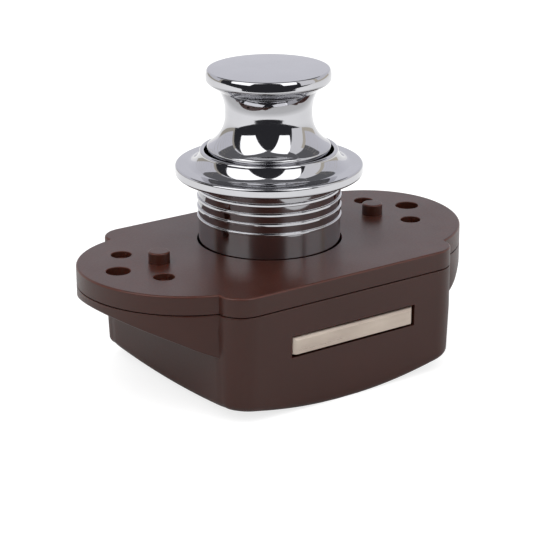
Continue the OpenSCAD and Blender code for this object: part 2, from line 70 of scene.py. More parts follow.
camera.matrix_world = Matrix.Translation(stand) @ Matrix((right, up, back)).transposed().to_4x4()
bpy.context.scene.collection.objects.link(camera)
bpy.context.scene.camera = camera
bpy.context.scene.view_settings.view_transform = "Standard"


# Floor. A sheet of white paper that the latch stands on. It is seen white, keeps the latch's
# shadow, glows in reflections from some way off, and is clear from below.
def mesh_piece(name, points, faces):
    """A new mesh object from an array of points in metres and an array or a list of faces."""
    mesh = bpy.data.meshes.new(name)
    mesh.from_pydata(np.asarray(points).tolist(), [], [list(map(int, f)) for f in faces])
    mesh.validate()
    piece = bpy.data.objects.new(name, mesh)
    bpy.context.scene.collection.objects.link(piece)
    return piece


def add_node(tree, kind, **inputs):
    """One node with its inputs set by name, or by number as i0, i1; a socket given as the value
    is linked."""
    node = tree.nodes.new(kind)
    for name, value in inputs.items():
        key = int(name[1:]) if name[0] == "i" and name[1:].isdigit() else name.replace("_", " ")
        if isinstance(value, bpy.types.NodeSocket):
            tree.links.new(value, node.inputs[key])
        else:
            node.inputs[key].default_value = value
    return node


def maths(tree, operation, *values):
    """A Math node with up to three values or sockets; gives its result socket."""
    node = add_node(tree, "ShaderNodeMath", **{f"i{i}": v for i, v in enumerate(values)})
    node.operation = operation
    return node.outputs[0]


def seen_rays(tree):
    """1 for camera, glossy and transmission rays, 0 for the rays that only light things."""
    path = tree.nodes.new("ShaderNodeLightPath")
    both = maths(tree, "MAXIMUM", path.outputs["Is Camera Ray"], path.outputs["Is Glossy Ray"])
    return maths(tree, "MAXIMUM", both, path.outputs["Is Transmission Ray"])


floor_gap, floor_half = 0.00002, 4
floor_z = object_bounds()[0].z - floor_gap
floor = mesh_piece("floor", [(-floor_half, -floor_half, floor_z), (floor_half, -floor_half, floor_z),
                             (floor_half, floor_half, floor_z), (-floor_half, floor_half, floor_z)],
                   [(0, 1, 2, 3)])
paper = bpy.data.materials.new("floor_paper")
paper.use_nodes = True
tree = paper.node_tree
tree.nodes.clear()
lit = add_node(tree, "ShaderNodeBsdfDiffuse", Color=(0.5, 0.5, 0.5, 1))
shaded = add_node(tree, "ShaderNodeBsdfDiffuse", Color=(0.35, 0.35, 0.35, 1))
glow = add_node(tree, "ShaderNodeEmission", Color=(1, 1, 1, 1), Strength=0.76)
seen = add_node(tree, "ShaderNodeAddShader", i0=shaded.outputs[0], i1=glow.outputs[0])
away = add_node(tree, "ShaderNodeVectorMath", i0=tree.nodes.new("ShaderNodeTexCoord").outputs["Object"])
away.operation = "LENGTH"
fade = add_node(tree, "ShaderNodeMapRange", Value=away.outputs["Value"], From_Min=0.075, From_Max=0.115,
                To_Min=0.05, To_Max=0.48)
sheen = add_node(tree, "ShaderNodeEmission", Color=(1, 1, 1, 1), Strength=fade.outputs[0])
in_gloss = add_node(tree, "ShaderNodeAddShader", i0=lit.outputs[0], i1=sheen.outputs[0])
path = tree.nodes.new("ShaderNodeLightPath")
indirect = add_node(tree, "ShaderNodeMixShader", i0=path.outputs["Is Glossy Ray"], i1=lit.outputs[0],
                    i2=in_gloss.outputs[0])
direct = maths(tree, "MAXIMUM", path.outputs["Is Camera Ray"], path.outputs["Is Transmission Ray"])
top = add_node(tree, "ShaderNodeMixShader", i0=direct, i1=indirect.outputs[0], i2=seen.outputs[0])
clear = tree.nodes.new("ShaderNodeBsdfTransparent")
side = tree.nodes.new("ShaderNodeNewGeometry")
sheet = add_node(tree, "ShaderNodeMixShader", i0=side.outputs["Backfacing"], i1=top.outputs[0],
                 i2=clear.outputs[0])
tree.links.new(sheet.outputs[0], tree.nodes.new("ShaderNodeOutputMaterial").inputs[0])
floor.data.materials.append(paper)

# Surroundings. A white room, which the metal shows, with plain white light from all round and
# more of it from the ceiling.
world = bpy.data.worlds.new("white_room")
world.use_nodes = True
bpy.context.scene.world = world
tree = world.node_tree
tree.nodes.clear()
direction = tree.nodes.new("ShaderNodeTexCoord").outputs["Generated"]
height = add_node(tree, "ShaderNodeSeparateXYZ", Vector=direction)
ceiling = add_node(tree, "ShaderNodeMapRange", Value=height.outputs["Z"], To_Min=0.3, To_Max=1.35)
fill = add_node(tree, "ShaderNodeBackground", Color=(1, 1, 1, 1), Strength=ceiling.outputs[0])
wall = add_node(tree, "ShaderNodeBackground", Color=(0.98, 0.975, 1, 1), Strength=1)
room = add_node(tree, "ShaderNodeMixShader", i0=seen_rays(tree), i1=fill.outputs[0], i2=wall.outputs[0])
tree.links.new(room.outputs[0], tree.nodes.new("ShaderNodeOutputWorld").inputs[0])


# Reflector cards. Big sheets behind and above the camera, dark and pale, that only the metal and
# the gloss of the plastic pick up, as black flags and card do beside a real product table.
card_r, card_rows = 1.5, 24
black_card, grey_card = (0.035, 0.035, 0.04), (0.16, 0.16, 0.17)


def glossy_sheet(name, points, faces, colour):
    """A sheet that glows plainly and is seen in glossy reflections only."""
    sheet = mesh_piece(name, points, faces)
    look = bpy.data.materials.new(name)
    look.use_nodes = True
    look.node_tree.nodes.clear()
    shine = add_node(look.node_tree, "ShaderNodeEmission", Color=(*colour, 1), Strength=1)
    look.node_tree.links.new(shine.outputs[0], look.node_tree.nodes.new("ShaderNodeOutputMaterial").inputs[0])
    sheet.data.materials.append(look)
    for ray in ("camera", "diffuse", "transmission", "shadow", "volume_scatter"):
        setattr(sheet, "visible_" + ray, False)


def card(name, turns, tilts, colour):
    """A sheet bent to a sphere round the latch, between two bearings from the camera and two
    heights above the floor in degrees: x = r cos(tilt) sin(turn), y = -r cos(tilt) cos(turn),
    z = r sin(tilt)."""
    a, e = np.meshgrid(view_turn + np.radians(np.linspace(*turns, card_rows + 1)),
                       np.radians(np.linspace(*tilts, card_rows + 1)))
    points = card_r * np.stack([np.sin(a) * np.cos(e), -np.cos(a) * np.cos(e), np.sin(e)], -1).reshape(-1, 3)
    points[:, 2] = np.maximum(points[:, 2], floor_z)
    n = card_rows + 1
    k = np.arange(card_rows * n).reshape(card_rows, n)[:, :card_rows].ravel()
    glossy_sheet(name, points, np.stack([k, k + n, k + n + 1, k + 1], 1), colour)


card("card_dark", (-95, 60), (-1, 62), black_card)
card("card_above", (-180, 180), (62, 90), grey_card)
card("card_far_high", (100, 260), (36, 62), grey_card)
card("card_far", (100, 260), (6, 36), (0.80, 0.80, 0.86))
card("card_left", (-150, -95), (-1, 45), (0.5, 0.47, 0.41))
card("card_right", (92, 140), (-1, 45), (0.66, 0.61, 0.52))
table_lift = 0.0004
table = [(x, y, floor_z + table_lift) for x, y in ((-2, -1.6), (2, -1.6), (2, -0.14), (-2, -0.14))]
turned_table = np.array(table) @ np.array(Matrix.Rotation(view_turn, 3, "Z")).T
glossy_sheet("card_table", turned_table, [(0, 1, 2, 3)], black_card)


# Softboxes. Two square lamps, left and right of the camera, which also show as bright panes in
# the chrome.
box_away, box_radiance = 0.7, 2.0


def softbox(name, turn, tilt, width, height):
    """A lamp at a distance from the latch, a bearing from the camera and a height in degrees,
    turned to face it. Its power is radiance x area x pi."""
    a, e = view_turn + math.radians(turn), math.radians(tilt)
    away = Vector((math.sin(a) * math.cos(e), -math.cos(a) * math.cos(e), math.sin(e)))
    lamp = bpy.data.lights.new(name, "AREA")
    lamp.shape = "RECTANGLE"
    lamp.size, lamp.size_y = width, height
    lamp.energy = box_radiance * width * height * math.pi
    box = bpy.data.objects.new(name, lamp)
    box.matrix_world = Matrix.Translation(away * box_away) @ away.to_track_quat("Z", "Y").to_matrix().to_4x4()
    box.visible_camera = False
    bpy.context.scene.collection.objects.link(box)


softbox("softbox_left", -53, 45, 0.5, 0.7)
softbox("softbox_right", 40, 45, 0.34, 0.7)

# Case. The lower half of the housing, a deep moulding in brown plastic with a crowned bottom and
# an ear at each end. It holds the mechanism, and its posts press into the cover's small holes.
# Sizes here and below are in millimetres.
mm = 0.001
box_x, box_front, box_back, corner_r = 24.0, 24.3, 19.9, 5.8
ear_tip, ear_front_r, ear_back_r, ear_y = 37.3, 20.5, 16.0, -0.5
cover_t, depth = 3.3, 22.6
draft = math.radians(2)
crown_rx, crown_ry, crown_cut = 90.0, 200.0, 1.1
ear_rim, ear_slope = 1.6, math.radians(24.7)
rear_corner_r, front_corner_r, wall_out, edge_down = 4.2, 4.8, 0.4, 0.2
skin, seam_in, seam_high = 0.03, 1.0, 0.14
rim_round, foot_round, ear_round, box_hold, ear_hold = 0.1, 1.0, 0.3, 0.25, 0.2
post_clear, ear_middle = 0.5, (27.0, -2.0)


def arc(x, y, r, start, end, n):
    """n + 1 points of a circle about (x, y), from one angle in degrees to another:
    x + r cos(t), y + r sin(t)."""
    t = np.radians(np.linspace(start, end, n + 1))
    return np.stack([x + r * np.cos(t), y + r * np.sin(t)], 1)


def box_line(inward):
    """The box's outline seen from above, drawn in: a quarter circle at each corner and points along
    the straight sides, a + (b - a) s, which let the bottom's edge follow the crown."""
    x, front, rear, r = box_x - inward, -box_front + inward, box_back - inward, corner_r - inward
    corners = [arc(x - r, front + r, r, -90, 0, 14), arc(x - r, rear - r, r, 0, 90, 14),
               arc(-x + r, rear - r, r, 90, 180, 14), arc(-x + r, front + r, r, 180, 270, 14)]
    line = []
    for corner, following in zip(corners, corners[1:] + corners[:1]):
        share = np.linspace(0, 1, 26)[1:-1, None]
        line += [corner, corner[-1] + (following[0] - corner[-1]) * share]
    return np.vstack(line)


def ear_line(inward):
    """The right ear's outline, drawn in: a front and a back quarter circle that meet at the tip,
    closed by straight lines that lie inside the box."""
    front = arc(ear_tip - ear_front_r, ear_y, ear_front_r - inward, -90, 0, 40)
    rear = arc(ear_tip - ear_back_r, ear_y, ear_back_r - inward, 0, 90, 32)[1:]
    close = np.array([[ear_tip - ear_front_r, ear_y + ear_back_r - inward]])
    return np.vstack([front, rear, close])


def shell(name, rings):
    """A closed surface through rings of equally many points, each closed, with a fan over the first
    and over the last. Faces point outwards where the rings run anticlockwise from the top down."""
    n = len(rings[0])
    points = np.vstack([rings[0].mean(0)[None], *rings, rings[-1].mean(0)[None]]) * mm
    k = np.arange(n)
    m = np.roll(k, -1)
    faces = [[0, 1 + a, 1 + b] for a, b in zip(k, m)]
    for i in range(len(rings) - 1):
        above, below = 1 + i * n, 1 + (i + 1) * n
        faces += np.stack([above + k, below + k, below + m, above + m], 1).tolist()
    last = 1 + (len(rings) - 1) * n
    faces += [[len(points) - 1, last + b, last + a] for a, b in zip(k, m)]
    return mesh_piece(name, points, faces)


def lift(line, z):
    """A flat line with a height, one number or one for each point."""
    return np.column_stack([line, np.broadcast_to(z, len(line))])


def crown_z(line):
    """Height of the crowned bottom under each point. The surface is a circle of crown_rx across,
    carried round a circle of crown_ry: z = c - sqrt(rho(x)^2 - (y - y0)^2), cut flat at the depth."""
    rho = crown_ry - crown_rx + np.sqrt(crown_rx ** 2 - line[:, 0] ** 2)
    y = line[:, 1] - (box_back - box_front) / 2
    return np.maximum(crown_ry - depth - crown_cut - np.sqrt(rho ** 2 - y ** 2), -depth) + skin


def wall_in(z):
    """How far the drafted wall stands in at a height: tan(draft) times the depth below the cover."""
    return skin + math.tan(draft) * np.maximum(-z - cover_t, 0)


def drawn(line_of, inward):
    """The outline at an inward distance of its own for each point, from two plain ones."""
    a, b = line_of(0), line_of(1)
    return a + (b - a) * np.reshape(inward, (-1, 1))


def box_rings():
    """The box from its rim down: the seam's step, the rim's edge, the drafted wall, the round edge
    of the bottom, and the crown closing in to the middle."""
    top = -cover_t - skin - seam_high
    rings = [lift(drawn(box_line, seam_in), top + seam_high), lift(drawn(box_line, seam_in), top)]
    rings += [lift(drawn(box_line, skin + rim_round * (1 - math.cos(t))), top - rim_round * (1 - math.sin(t)))
             for t in np.radians([90, 60, 30, 0])]
    edge = drawn(box_line, skin + math.tan(draft) * (depth - cover_t - 2))
    low, high = crown_z(edge) + foot_round, top - rim_round
    for z in (high - box_hold, (high + low) / 2, low + box_hold):
        rings.append(lift(drawn(box_line, wall_in(z)), z))
    for t in np.radians(np.linspace(0, 90, 9)):
        line = drawn(box_line, wall_in(low) + foot_round * (1 - math.cos(t)))
        rings.append(lift(line, crown_z(line) + foot_round * (1 - math.sin(t))))
    middle, last = np.array([0, (box_back - box_front) / 2]), rings[-1][:, :2]
    for share in np.linspace(1, 0, 24, endpoint=False)[1:]:
        line = middle + (last - middle) * share
        rings.append(lift(line, crown_z(line)))
    return rings


def ear_rings():
    """An ear from a step that clears the posts, over the rim, down the wall and round its lower edge
    on to the sloping underside: z = tip - tan(slope) times the distance in from the tip."""
    def under(line):
        return -cover_t - ear_rim - math.tan(ear_slope) * (ear_tip - line[:, 0]) + skin
    top = -cover_t - skin - seam_high
    inner = drawn(ear_line, seam_in)
    rings = [lift(inner, post_clear), lift(inner, top)]
    rings += [lift(drawn(ear_line, skin + rim_round * (1 - math.cos(t))), top - rim_round * (1 - math.sin(t)))
              for t in np.radians([90, 60, 30, 0])]
    edge = drawn(ear_line, skin)
    low, high = under(edge) + ear_round, top - rim_round
    rings += [lift(edge, high - ear_hold), lift(edge, (low + high) / 2), lift(edge, low + ear_hold)]
    for t in np.radians(np.linspace(0, 90, 6)):
        line = drawn(ear_line, skin + ear_round * (1 - math.cos(t)))
        rings.append(lift(line, under(line) + ear_round * (1 - math.sin(t))))
    for share in (0.7, 0.35):
        line = ear_middle + (rings[-1][:, :2] - ear_middle) * share
        rings.append(lift(line, under(line)))
    return rings


def mirrored(rings):
    """The same rings on the other side, run the other way so that faces still point outwards."""
    return [ring[::-1] * (-1, 1, 1) for ring in rings]


def copy_of(node, name):
    """A new mesh object with a CAD node's shape, its loose triangles merged into closed walls."""
    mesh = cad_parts[node].data.copy()
    mesh.name = name
    shape = bmesh.new()
    shape.from_mesh(mesh)
    bmesh.ops.remove_doubles(shape, verts=shape.verts, dist=1e-6)
    shape.to_mesh(mesh)
    shape.free()
    if mesh.has_custom_normals:
        mesh.attributes.remove(mesh.attributes["custom_normal"])
    piece = bpy.data.objects.new(name, mesh)
    bpy.context.scene.collection.objects.link(piece)
    return piece


def shaped(piece, steps):
    """Runs exact Boolean steps, (operation, tool), one after the other, keeps the result as the
    piece's own mesh and removes the tools."""
    for operation, tool in steps:
        step = piece.modifiers.new(operation.lower(), "BOOLEAN")
        step.operation, step.object, step.solver = operation, tool, "EXACT"
    done = bpy.data.meshes.new_from_object(piece.evaluated_get(bpy.context.evaluated_depsgraph_get()))
    piece.modifiers.clear()
    piece.data = done
    done.name = piece.name
    for _, tool in steps:
        bpy.data.objects.remove(tool)
    return piece


def smooth(piece, angle=32):
    """Smooth shading up to an angle, with normals weighed by face area so that flats stay flat."""
    piece.data.polygons.foreach_set("use_smooth", np.ones(len(piece.data.polygons), bool))
    piece.data.set_sharp_from_angle(angle=math.radians(angle))
    weigh = piece.modifiers.new("weighted_normal", "WEIGHTED_NORMAL")
    weigh.keep_sharp = True
    weigh.weight = 100
    return piece


def eased(t):
    """A smooth step from 0 to 1: t^2 (3 - 2 t)."""
    t = np.clip(t, 0, 1)
    return t * t * (3 - 2 * t)


def squared(piece):
    """Draws a finished moulding's corners out along the rays d of their circle of radius R to a
    tighter circle of radius r, whose centre is c further out each way: the ray reaches it at
    d.c + sqrt((d.c)^2 - c.c + r^2). The end walls go out by wall_out below the seam, and the
    bottom's edge, within 4 mm of the walls, goes down by edge_down, but not below the flat."""
    wall_from, wall_to, ramp, seam_ramp, low_from = 18, 31, 5, 3, 14
    points = np.empty(3 * len(piece.data.vertices))
    piece.data.vertices.foreach_get("co", points)
    points = points.reshape(-1, 3) / mm
    side, x = np.sign(points[:, 0]), np.abs(points[:, 0])
    at_wall = eased((x - wall_from) / ramp) * eased((wall_to - x) / ramp)
    x = x + wall_out * eased((-points[:, 2] - cover_t) / seam_ramp) * at_wall
    outside = np.maximum(x - box_x, np.maximum(points[:, 1] - box_back, -points[:, 1] - box_front))
    lower = points[:, 2] - edge_down * eased((-points[:, 2] - low_from) / ramp) * eased(outside / 2 + 2)
    points[:, 2] = np.maximum(lower, np.minimum(points[:, 2], skin - depth))
    for way, edge, r in ((1, box_back, rear_corner_r), (-1, box_front, front_corner_r)):
        u, v = x - (box_x - corner_r), way * points[:, 1] - (edge - corner_r)
        far = np.maximum(np.hypot(u, v), 1e-6)
        d, c = np.stack([u, v], 1) / far[:, None], corner_r - r
        along = d.sum(1) * c
        reach = along + np.sqrt(np.maximum(along ** 2 - 2 * c ** 2 + r ** 2, 0))
        reach = np.where(d.min(1) * corner_r < c * d.max(1), corner_r / np.maximum(d.max(1), 1e-6), reach)
        clear_of_ear = eased((v - 1.2) / 1.2) * eased(1 - (far - corner_r - 0.2))
        grow = np.where((u > 0) & (v > 0), (reach / corner_r - 1) * clear_of_ear, 0)
        x, points[:, 1] = x + u * grow, points[:, 1] + way * v * grow
    points[:, 0] = side * x
    piece.data.vertices.foreach_set("co", (points * mm).ravel())
    piece.data.update()
    return piece


def pattern(tree, scale, stretch=(1, 1, 1), detail=3.0):
    """A noise on the object's own coordinates, scale in waves per metre."""
    place = tree.nodes.new("ShaderNodeTexCoord").outputs["Object"]
    stretched = add_node(tree, "ShaderNodeMapping", Vector=place, Scale=stretch)
    noise = add_node(tree, "ShaderNodeTexNoise", Vector=stretched.outputs[0], Scale=scale, Detail=detail)
    return noise.outputs["Fac"]


def between(tree, value, low, high, start=0.3, end=0.7):
    """Carries a value from start..end to low..high."""
    span = add_node(tree, "ShaderNodeMapRange", Value=value, From_Min=start, From_Max=end,
                    To_Min=low, To_Max=high)
    return span.outputs[0]


def blend(tree, factor, first, second):
    """A mix of two colours, each three numbers or a socket; gives its colour socket."""
    mix = add_node(tree, "ShaderNodeMix", Factor=factor)
    mix.data_type = "RGBA"
    for socket, colour in ((mix.inputs[6], first), (mix.inputs[7], second)):
        if isinstance(colour, bpy.types.NodeSocket):
            tree.links.new(colour, socket)
        else:
            socket.default_value = (*colour, 1)
    return mix.outputs[2]


def material(name, **sockets):
    """A new material with one Principled shader and its plain sockets set; gives both."""
    made = bpy.data.materials.new(name)
    made.use_nodes = True
    shader = made.node_tree.nodes["Principled BSDF"]
    for key, value in sockets.items():
        shader.inputs[key.replace("_", " ")].default_value = value
    return made, shader


def relief(tree, shader, height, depth_m, strength=1.0):
    """A bump on the shader, its full height in metres."""
    bump = add_node(tree, "ShaderNodeBump", Strength=strength, Distance=depth_m, Height=height)
    tree.links.new(bump.outputs[0], shader.inputs["Normal"])


brown, shader = material("brown_plastic", IOR=1.46, Specular_IOR_Level=0.5, Subsurface_Weight=0.25,
                         Subsurface_Scale=0.0006, Subsurface_Radius=(1.0, 0.2, 0.1))
tree = brown.node_tree
cloud = pattern(tree, 90, detail=4)
tint = blend(tree, between(tree, cloud, 0, 1), (0.0365, 0.0088, 0.0046), (0.0405, 0.0100, 0.0056))
# Painted highlight: on rounded edges that face upwards near the cover's top, the base colour turns a lighter
# red. This stands in for the extra lamp light those edges catch.
normal = tree.nodes.new("ShaderNodeNewGeometry").outputs["Normal"]
facing = add_node(tree, "ShaderNodeSeparateXYZ", Vector=normal)
highlight_on_slopes = maths(tree, "MULTIPLY", between(tree, facing.outputs["Z"], 0, 1, 0.1, 0.35),
                   between(tree, facing.outputs["Z"], 1, 0, 0.8, 0.97))
spot = tree.nodes.new("ShaderNodeTexCoord").outputs["Object"]
place = add_node(tree, "ShaderNodeSeparateXYZ", Vector=spot)
painted_edge_highlight = maths(tree, "MULTIPLY", highlight_on_slopes, between(tree, place.outputs["Z"], 0, 1, -0.0025, -0.0015))
tree.links.new(blend(tree, painted_edge_highlight, tint, (0.070, 0.019, 0.0115)), shader.inputs["Base Color"])
fine = pattern(tree, 2600, detail=2)
rough = maths(tree, "ADD", between(tree, cloud, 0.31, 0.37), between(tree, fine, -0.03, 0.03))
tree.links.new(rough, shader.inputs["Roughness"])
relief(tree, shader, fine, 0.000006, 0.5)

envelope = shell("case_outside", box_rings())
shaped(envelope, [("UNION", shell("ear_right", ear_rings())),
                  ("UNION", shell("ear_left", mirrored(ear_rings())))])
case = squared(shaped(copy_of("case", "case_moulding"), [("INTERSECT", envelope)]))
case.data.materials.clear()
case.data.materials.append(brown)
smooth(case)
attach(case, "case")
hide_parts("case")

# Cover. The upper half, a thin moulding in the same plastic that lies against the door, with two
# locating pegs, the screw holes, and small holes whose ribs grip the case's posts.
edge_round, low_round, lip_round, socket_lip, peg_round = 0.35, 0.1, 0.14, 0.06, 0.28
peg_x, peg_r, peg_h = 23.0, 1.88, 2.0
screw_x, screw_hole_r, post_x, post_y, post_hole_r, socket_r = 31.15, 2.12, 26.4, 7.0, 1.8, 12.85


def crossing(c, r, d, s):
    """The outer one of the two points where a circle about c of radius r meets one about d of
    radius s: on the line between their centres at (r^2 - s^2 + gap^2) / (2 gap), then square to it."""
    c, d = np.array(c), np.array(d)
    gap = np.linalg.norm(d - c)
    u = (d - c) / gap
    along = (r ** 2 - s ** 2 + gap ** 2) / (2 * gap)
    off = math.sqrt(r ** 2 - along ** 2) * np.array([-u[1], u[0]])
    return max(c + along * u + off, c + along * u - off, key=lambda p: p[0])


def bearing(point, centre):
    """The angle in degrees of a point seen from a centre."""
    return math.degrees(math.atan2(point[1] - centre[1], point[0] - centre[0]))


def outline(inward):
    """The housing's whole outline, drawn in: the box's corner circles and the ears' front and back
    circles, each cut where it meets the next."""
    r, front_r, rear_r = corner_r - inward, ear_front_r - inward, ear_back_r - inward
    front_corner = (box_x - corner_r, -box_front + corner_r)
    rear_corner = (box_x - corner_r, box_back - corner_r)
    front_ear, rear_ear = (ear_tip - ear_front_r, ear_y), (ear_tip - ear_back_r, ear_y)
    a = crossing(front_corner, r, front_ear, front_r)
    b = crossing(rear_corner, r, rear_ear, rear_r)
    right = np.vstack([
        arc(*front_corner, r, -90, bearing(a, front_corner), 16),
        arc(*front_ear, front_r, bearing(a, front_ear), 0, 60)[1:],
        arc(*rear_ear, rear_r, 0, bearing(b, rear_ear), 40)[1:],
        arc(*rear_corner, r, bearing(b, rear_corner), 90, 14)[1:],
    ])
    return np.vstack([right, right[::-1] * (-1, 1)])


def ring_tool(line_of, section):
    """A closed ring whose cross-section, (inward, z) points, is carried round an outline."""
    rings = np.array([lift(line_of(n), z) for n, z in section])
    count, n = rings.shape[:2]
    i, k = np.meshgrid(np.arange(count), np.arange(n), indexing="ij")
    j, m = (i + 1) % count, (k + 1) % n
    faces = np.stack([i * n + k, j * n + k, j * n + m, i * n + m], -1).reshape(-1, 4)
    return rings.reshape(-1, 3) * mm, faces


def lathe(profile, x=0.0, y=0.0, sides=96):
    """A ring turned from a closed (radius, z) profile about an upright axis: r cos(a), r sin(a), z."""
    a = np.linspace(0, 2 * np.pi, sides, endpoint=False)
    r, z = np.asarray(profile)[:, :1], np.asarray(profile)[:, 1:]
    points = np.stack([x + r * np.cos(a), y + r * np.sin(a), np.broadcast_to(z, (len(r), sides))], -1)
    i, k = np.meshgrid(np.arange(len(r)), np.arange(sides), indexing="ij")
    j, m = (i + 1) % len(r), (k + 1) % sides
    faces = np.stack([i * sides + k, j * sides + k, j * sides + m, i * sides + m], -1).reshape(-1, 4)
    return points.reshape(-1, 3) * mm, faces


def joined(name, parts):
    """One mesh object from several closed surfaces, normals turned outwards."""
    points, faces, start = [], [], 0
    for p, f in parts:
        points.append(p)
        faces += (np.asarray(f) + start).tolist()
        start += len(p)
    piece = mesh_piece(name, np.vstack(points), faces)
    shape = bmesh.new()
    shape.from_mesh(piece.data)
    bmesh.ops.recalc_face_normals(shape, faces=shape.faces)
    shape.to_mesh(piece.data)
    shape.free()
    return piece


def lip(r, z, size):
    """Profile of a ring that rounds the mouth of a hole of radius r in a face at height z."""
    curve = [(r + size * (1 - math.cos(t)), z - size * (1 - math.sin(t)))
             for t in np.radians(np.linspace(0, 84, 6))]
    return [(r - 0.3, z - size - 0.1), (r - 0.002, z - size - 0.1), *curve,
            (r + size, z + 0.3), (r - 0.3, z + 0.3)]


section = [(edge_round + skin, 0.4)]
section += [(skin + edge_round * (1 - math.cos(t)), -edge_round * (1 - math.sin(t)))
            for t in np.radians(np.linspace(86, 0, 7))]
section += [(skin + low_round * (1 - math.cos(t)), -cover_t + low_round * (1 - math.sin(t)))
            for t in np.radians(np.linspace(0, 86, 4))]
section += [(skin + low_round, -cover_t - 0.4), (-1, -cover_t - 0.4), (-1, 0.4)]
tools = [ring_tool(outline, section)]
for s in (-1, 1):
    tools.append(lathe(lip(screw_hole_r, 0, lip_round), s * screw_x, sides=64))
    curve = [(peg_r - skin - peg_round * (1 - math.cos(t)), peg_h - peg_round * (1 - math.sin(t)))
             for t in np.radians(np.linspace(0, 86, 7))]
    tools.append(lathe([(peg_r + 0.4, 0.3), (peg_r - skin, 0.3), *curve,
                        (peg_r - skin - peg_round, peg_h + 0.3), (peg_r + 0.4, peg_h + 0.3)],
                       s * peg_x, sides=64))
tools.append(lathe(lip(socket_r, 0, socket_lip), sides=160))
for sx in (-1, 1):
    for sy in (-1, 1):
        tools.append(lathe(lip(post_hole_r, 0, lip_round), sx * post_x, sy * post_y, sides=64))
cover = squared(shaped(copy_of("cover", "cover_moulding"), [("DIFFERENCE", joined("cover_tool", tools))]))
cover.data.materials.clear()
cover.data.materials.append(brown)
smooth(cover)
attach(cover, "case")
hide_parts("cover")

# Sleeve. A turned and chromed tube with four ribs above its foot and a flange that sits on the
# door's face and sweeps up to a round collar. The button runs in its bore.
sleeve_r, bore_r, groove_d = 12.75, 11.3, 0.2
rib_z, rib_pitch, rib_w, rib_count, rib_round = 4.45, 1.76, 0.5, 4, 0.17
flange_r, grip, flange_t, flare_h, flare_w, collar_t = 16.5, 11.95, 1.85, 2.65, 2.35, 0.9


def held(profile, reach=0.06):
    """The profile with two more points near the ends of each long run, which keep it flat when
    the corners beside it are shaded round."""
    profile = np.asarray(profile, float)
    line = [profile[0]]
    for a, b in zip(profile, profile[1:]):
        run = np.linalg.norm(b - a)
        if run > 4 * reach:
            line += [a + (b - a) * reach / run, b + (a - b) * reach / run]
        line.append(b)
    return np.array(line)


def turned(name, profile, sides, closed):
    """A smooth surface of revolution about Z. A closed profile gives a tube; an open one starts and
    ends on the axis and gets a point at each pole."""
    profile = held(profile)
    if closed:
        points, faces = lathe(profile[:-1] if np.allclose(profile[0], profile[-1]) else profile, sides=sides)
        return joined(name, [(points, faces)])
    rings = [lift(np.stack([r * np.cos(a), r * np.sin(a)], 1), z)
             for a in [np.linspace(0, 2 * np.pi, sides, endpoint=False)] for r, z in profile[1:-1]]
    piece = shell(name, rings)
    count = len(piece.data.vertices)
    piece.data.vertices[0].co = (0, 0, profile[0][1] * mm)
    piece.data.vertices[count - 1].co = (0, 0, profile[-1][1] * mm)
    return piece


def sleeve_profile():
    """The sleeve's section as (radius, z): tail, groove for the clip, foot, ribs with a round upper
    edge and a leaning band above each, neck, flange, flare as most of a quarter ellipse, round
    collar lip, and the bore."""
    tail_z, clip_z, floor_r = -4.1, -3.35, sleeve_r - groove_d
    neck_round, rim_low, rim_high = 0.5, 0.5, 0.4
    line = [np.array([[bore_r, tail_z], [floor_r - 0.2, tail_z], [floor_r, tail_z + 0.2],
                      [floor_r, clip_z - 0.4], [floor_r - 0.4, clip_z - 0.4], [floor_r - 0.4, clip_z + 0.4],
                      [floor_r, clip_z + 0.4], [floor_r, rib_z - rib_w / 2 - 0.04]])]
    for i in range(rib_count):
        low, high = rib_z + i * rib_pitch - rib_w / 2, rib_z + i * rib_pitch + rib_w / 2
        line.append(arc(sleeve_r - 0.05, low + 0.05, 0.05, -90 if i == 0 else -60, 0, 4))
        line.append(arc(sleeve_r - rib_round, high - rib_round, rib_round, 0, 84, 8))
        line.append(arc(floor_r, high + 0.04, 0.04, 260, 188, 2))
    flange_top = grip + flange_t
    collar_r, collar_top = bore_r + collar_t, flange_top + flare_h
    lip_r = collar_t / 2
    lip_z, foot = collar_top - lip_r, flange_top + 0.03
    line.append(np.array([[sleeve_r, rib_z + rib_count * rib_pitch - rib_w / 2]]))
    line.append(arc(sleeve_r + neck_round, grip - neck_round, neck_round, 180, 90, 6))
    line.append(arc(flange_r - rim_low, grip + rim_low, rim_low, -90, 0, 10))
    line.append(arc(flange_r - rim_high, flange_top - rim_high, rim_high, 0, 86, 8))
    t, end = np.radians(np.linspace(270, 205, 31)), math.radians(205)
    line.append(np.stack([collar_r + flare_w * (1 - np.cos(t) / math.cos(end)),
                          lip_z - (lip_z - foot) * (math.sin(end) - np.sin(t)) / (math.sin(end) + 1)], 1)[:-1])
    line.append(arc(bore_r + lip_r, lip_z, lip_r, 0, 180, 18))
    line.append(np.array([[bore_r, tail_z]]))
    return np.vstack(line)


chrome, shader = material("chrome_plate", Metallic=1.0)
tree = chrome.node_tree
haze = pattern(tree, 160, detail=4)
tint = blend(tree, between(tree, haze, 0, 1), (0.515, 0.515, 0.535), (0.545, 0.545, 0.565))
tree.links.new(tint, shader.inputs["Base Color"])
tree.links.new(between(tree, haze, 0.035, 0.075), shader.inputs["Roughness"])
relief(tree, shader, pattern(tree, 420, detail=1), 0.000003, 0.35)

sleeve = turned("sleeve_chromed", sleeve_profile(), 192, closed=True)
sleeve.data.materials.append(chrome)
smooth(sleeve, 50)
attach(sleeve, "case")
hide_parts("sleeve")

# Button. A chromed knob with a flat disc, a hollow waist and a skirt that slides in the sleeve.
# It is screwed to the plunger from below.
disc_r, button_top, disc_t = 10.92, 30.67, 1.6
waist_r, waist_z, sweep_top_r, sweep_low_r = 7.63, 23.0, 7.1, 6.41
skirt_r, skirt_top, skirt_l = 10.85, 17.1, 3.8
stem_r, stem_top, screw_r, dome, skirt_round, skirt_wall = 5.9, 21.0, 1.2, 0.12, 0.25, 1.3


